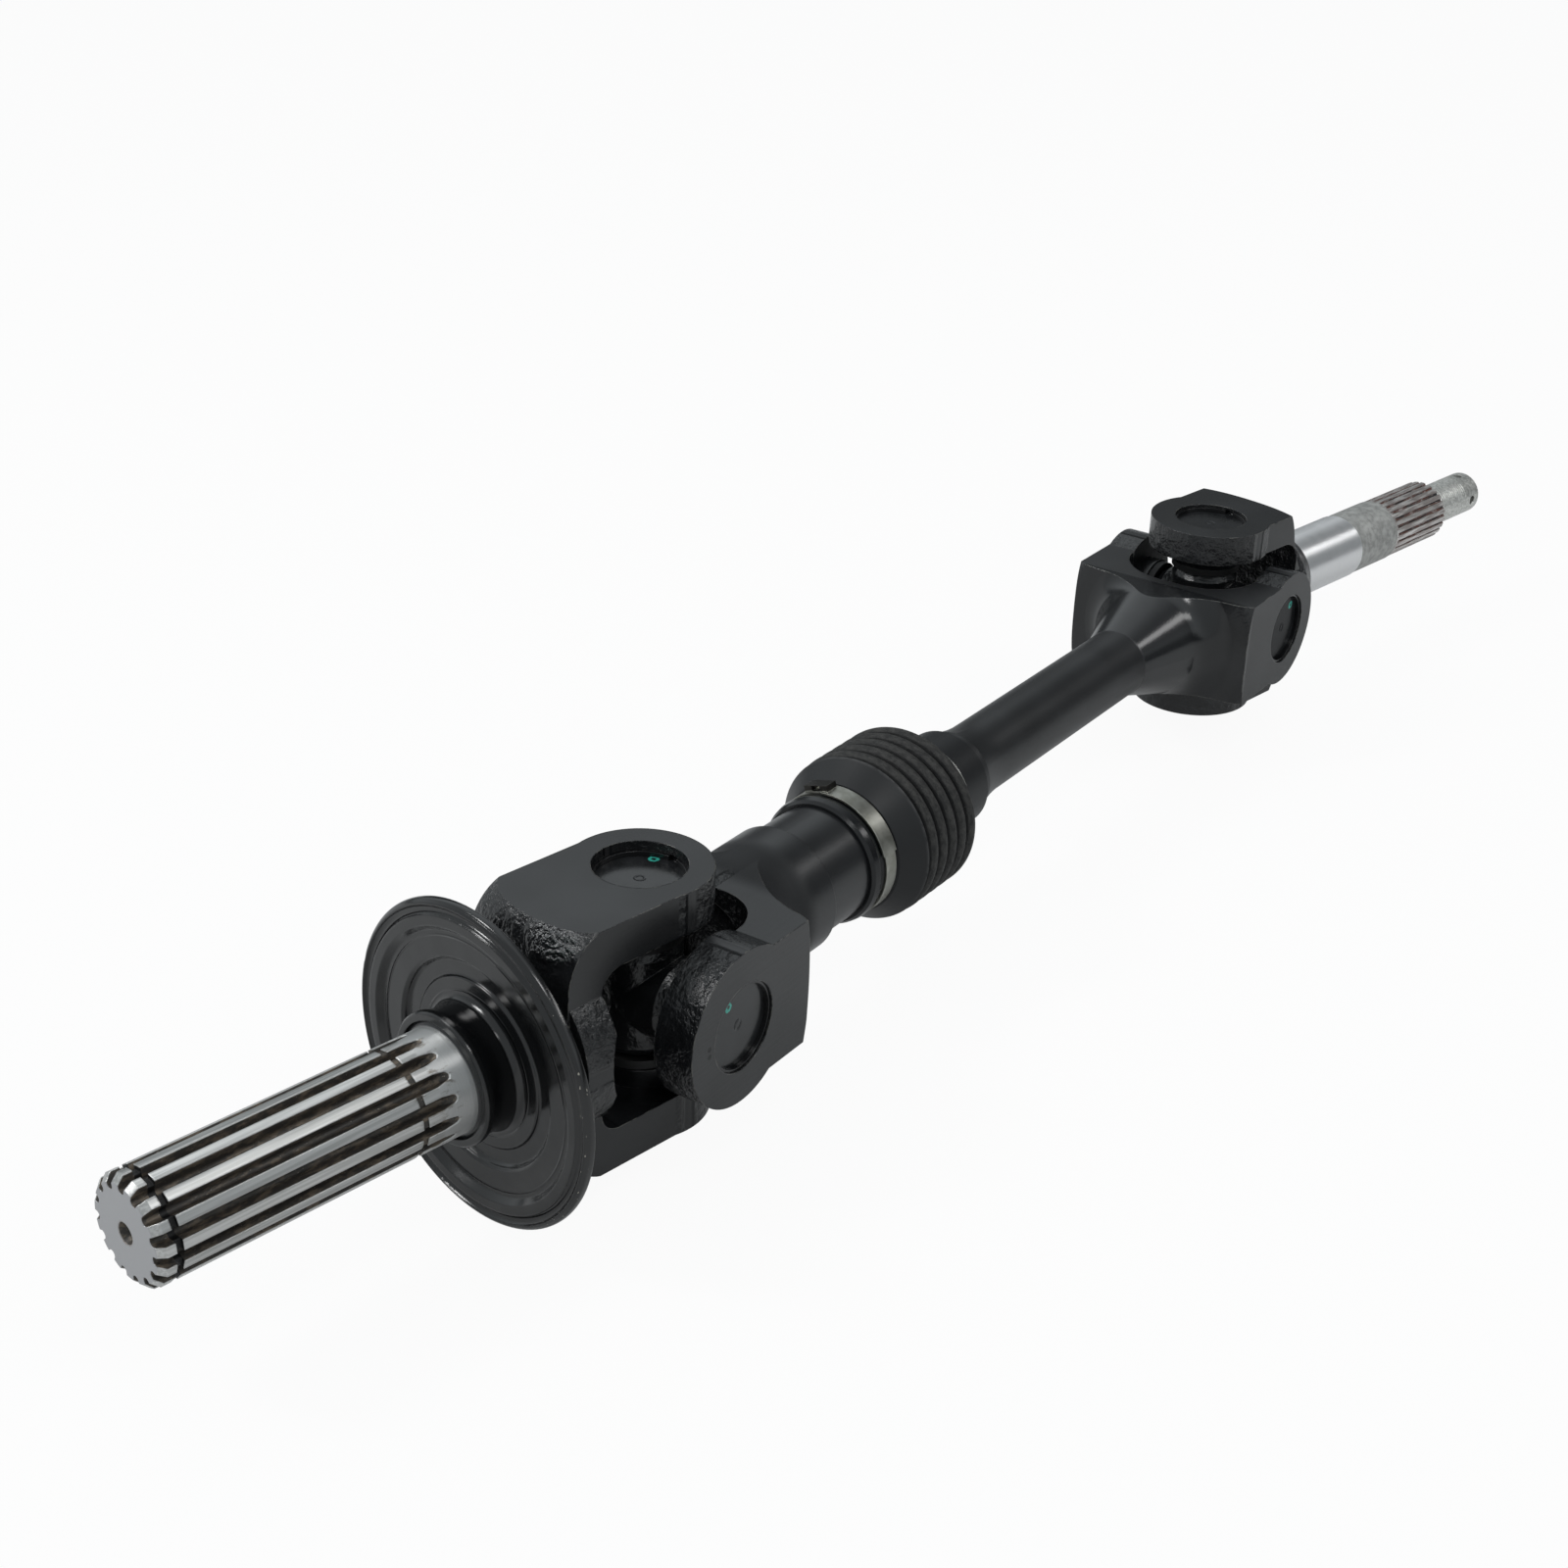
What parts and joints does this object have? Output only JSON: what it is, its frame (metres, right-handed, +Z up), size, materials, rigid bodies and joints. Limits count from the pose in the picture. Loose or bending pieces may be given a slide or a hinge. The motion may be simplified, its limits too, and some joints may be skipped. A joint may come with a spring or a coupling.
{
  "type": "rear drive shaft",
  "caption": "Telescoping drive shaft with a universal joint at each end, a bellows boot, a dust shield and splined stubs.",
  "frame": {"origin": "middle of the footprint, on the plane that the dust shield's rim rests on", "axes": "+X along the middle shaft towards the outer (wheel) end, +Z up along the stub forks' trunnions, +Y towards the side that the inner stub bends to"},
  "size_m": [0.7468, 0.1008, 0.098],
  "materials": {
    "black_forging": "satin black paint over forged steel, splines and journals left bare",
    "black_pressing": "gloss black paint on pressed steel",
    "cross_steel": "hardened steel, sprayed over with black",
    "cup_steel": "drawn bearing steel, painted over on its outer end",
    "roller_steel": "ground bearing steel",
    "seal_rubber": "matte",
    "spring_steel": "dark phosphated spring steel",
    "boot_rubber": "matte, slightly dusty",
    "clamp_steel": "bright stainless band"
  },
  "bodies": {
    "inner_stub": {"inner_stub_yoke": "black_forging", "dust_shield": "black_pressing", "inner_cup_top": "cup_steel", "inner_needles_top": "roller_steel", "inner_seal_top": "seal_rubber", "inner_snap_ring_top": "spring_steel", "inner_cup_bottom": "cup_steel", "inner_needles_bottom": "roller_steel", "inner_seal_bottom": "seal_rubber", "inner_snap_ring_bottom": "spring_steel"},
    "inner_cross": {"inner_cross": "cross_steel"},
    "slip_yoke": {"slip_yoke": "black_forging", "slip_yoke_plug": "black_pressing", "large_clamp": "clamp_steel", "boot": "boot_rubber", "inner_cup_front": "cup_steel", "inner_needles_front": "roller_steel", "inner_seal_front": "seal_rubber", "inner_snap_ring_front": "spring_steel", "inner_cup_rear": "cup_steel", "inner_needles_rear": "roller_steel", "inner_seal_rear": "seal_rubber", "inner_snap_ring_rear": "spring_steel"},
    "shaft": {"shaft_yoke": "black_forging", "small_clamp": "clamp_steel", "outer_cup_front": "cup_steel", "outer_needles_front": "roller_steel", "outer_seal_front": "seal_rubber", "outer_snap_ring_front": "spring_steel", "outer_cup_rear": "cup_steel", "outer_needles_rear": "roller_steel", "outer_seal_rear": "seal_rubber", "outer_snap_ring_rear": "spring_steel"},
    "outer_cross": {"outer_cross": "cross_steel"},
    "outer_stub": {"outer_stub_yoke": "black_forging", "outer_cup_top": "cup_steel", "outer_needles_top": "roller_steel", "outer_seal_top": "seal_rubber", "outer_snap_ring_top": "spring_steel", "outer_cup_bottom": "cup_steel", "outer_needles_bottom": "roller_steel", "outer_seal_bottom": "seal_rubber", "outer_snap_ring_bottom": "spring_steel"}
  },
  "joints": [
    {"name": "inner_joint_swing", "type": "hinge", "parent": "inner_stub", "child": "inner_cross", "pos_m": [-0.20196, -0.00812, 0.0489], "axis": [0, 0, 1], "range_deg": [-27, 9]},
    {"name": "inner_joint_lift", "type": "hinge", "parent": "inner_cross", "child": "slip_yoke", "pos_m": [-0.20196, -0.00812, 0.0489], "axis": [0, 1, 0], "range_deg": [-18, 18]},
    {"name": "plunge", "type": "slide", "parent": "slip_yoke", "child": "shaft", "axis": [1, 0, 0], "range_m": [-0.018, 0.018], "deforming": ["boot"]},
    {"name": "outer_joint_lift", "type": "hinge", "parent": "shaft", "child": "outer_cross", "pos_m": [0.16804, -0.00812, 0.0489], "axis": [0, 1, 0], "range_deg": [-18, 18]},
    {"name": "outer_joint_swing", "type": "hinge", "parent": "outer_cross", "child": "outer_stub", "pos_m": [0.16804, -0.00812, 0.0489], "axis": [0, 0, 1], "range_deg": [-9, 27]}
  ]
}
